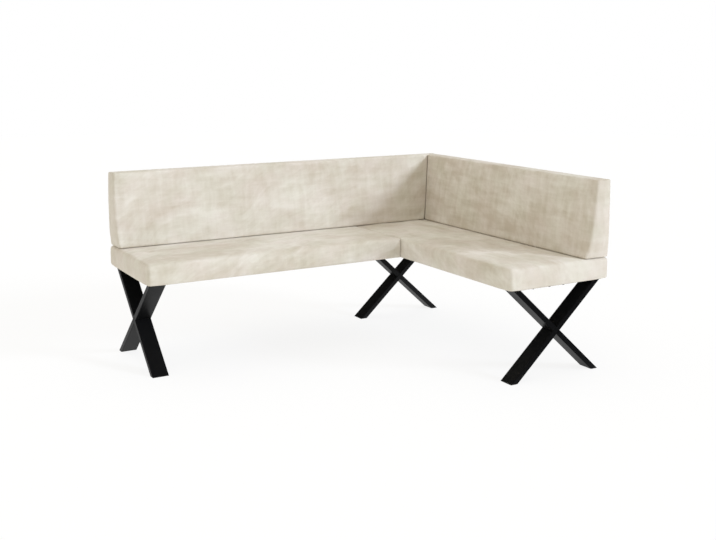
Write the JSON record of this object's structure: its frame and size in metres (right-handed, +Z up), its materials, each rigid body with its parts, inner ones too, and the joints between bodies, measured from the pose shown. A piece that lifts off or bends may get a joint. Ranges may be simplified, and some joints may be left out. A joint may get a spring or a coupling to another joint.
{
  "type": "corner bench",
  "caption": "L-shaped upholstered dining corner bench: slab seats, wedge backrests mitred at the corner, cream velvet, black crossed steel leg frames.",
  "frame": {"origin": "on the floor, under the middle of the bench's outline", "axes": "+X along the long side towards the corner, +Y towards the wall behind the long side, +Z up"},
  "size_m": [1.84, 1.41, 0.86],
  "materials": {
    "velvet": "cream brushed velvet",
    "foam": "open-cell upholstery foam",
    "dust_cloth": "black non-woven cloth",
    "timber": "sawn softwood",
    "plywood": "birch plywood",
    "hardboard": "hardboard",
    "black_steel": "satin black powder coat",
    "black_screws": "black oxide",
    "zinc_steel": "zinc plated",
    "black_plastic": "black polyethylene"
  },
  "bodies": {
    "root": {"back_bolts": "zinc_steel", "back_t_nuts": "zinc_steel", "back_washers": "zinc_steel", "corner_ledge": "plywood", "corner_ledge_rail": "timber", "corner_leg_board": "timber", "corner_leg_lower_bar": "black_steel", "corner_leg_through_bar": "black_steel", "corner_leg_top_plate": "black_steel", "corner_leg_upper_bar": "black_steel", "corner_wall_rail": "timber", "foot_plugs": "black_plastic", "join_bolts": "zinc_steel", "join_nuts": "zinc_steel", "join_washers": "zinc_steel", "left_leg_lower_bar": "black_steel", "left_leg_through_bar": "black_steel", "left_leg_top_plate": "black_steel", "left_leg_upper_bar": "black_steel", "leg_screws": "black_screws", "long_back_base_rail": "plywood", "long_back_cover": "velvet", "long_back_foam": "foam", "long_back_front_panel": "hardboard", "long_back_rear_panel": "hardboard", "long_back_ribs": "plywood", "long_back_top_rail": "plywood", "long_seat_cover": "velvet", "long_seat_cross_rails": "timber", "long_seat_deck": "plywood", "long_seat_dust_cover": "dust_cloth", "long_seat_foam": "foam", "long_seat_front_rail": "timber", "long_seat_join_rail": "timber", "long_seat_ledge": "plywood", "long_seat_ledge_rail": "timber", "long_seat_leg_board": "timber", "long_seat_rear_rail": "timber", "right_leg_lower_bar": "black_steel", "right_leg_through_bar": "black_steel", "right_leg_top_plate": "black_steel", "right_leg_upper_bar": "black_steel", "short_back_base_rail": "plywood", "short_back_cover": "velvet", "short_back_foam": "foam", "short_back_front_panel": "hardboard", "short_back_rear_panel": "hardboard", "short_back_ribs": "plywood", "short_back_top_rail": "plywood", "short_seat_cover": "velvet", "short_seat_cross_rails": "timber", "short_seat_deck": "plywood", "short_seat_dust_cover": "dust_cloth", "short_seat_foam": "foam", "short_seat_front_rail": "timber", "short_seat_ledge": "plywood", "short_seat_ledge_rail": "timber", "short_seat_leg_board": "timber", "short_seat_rear_rail": "timber"}
  },
  "joints": []
}
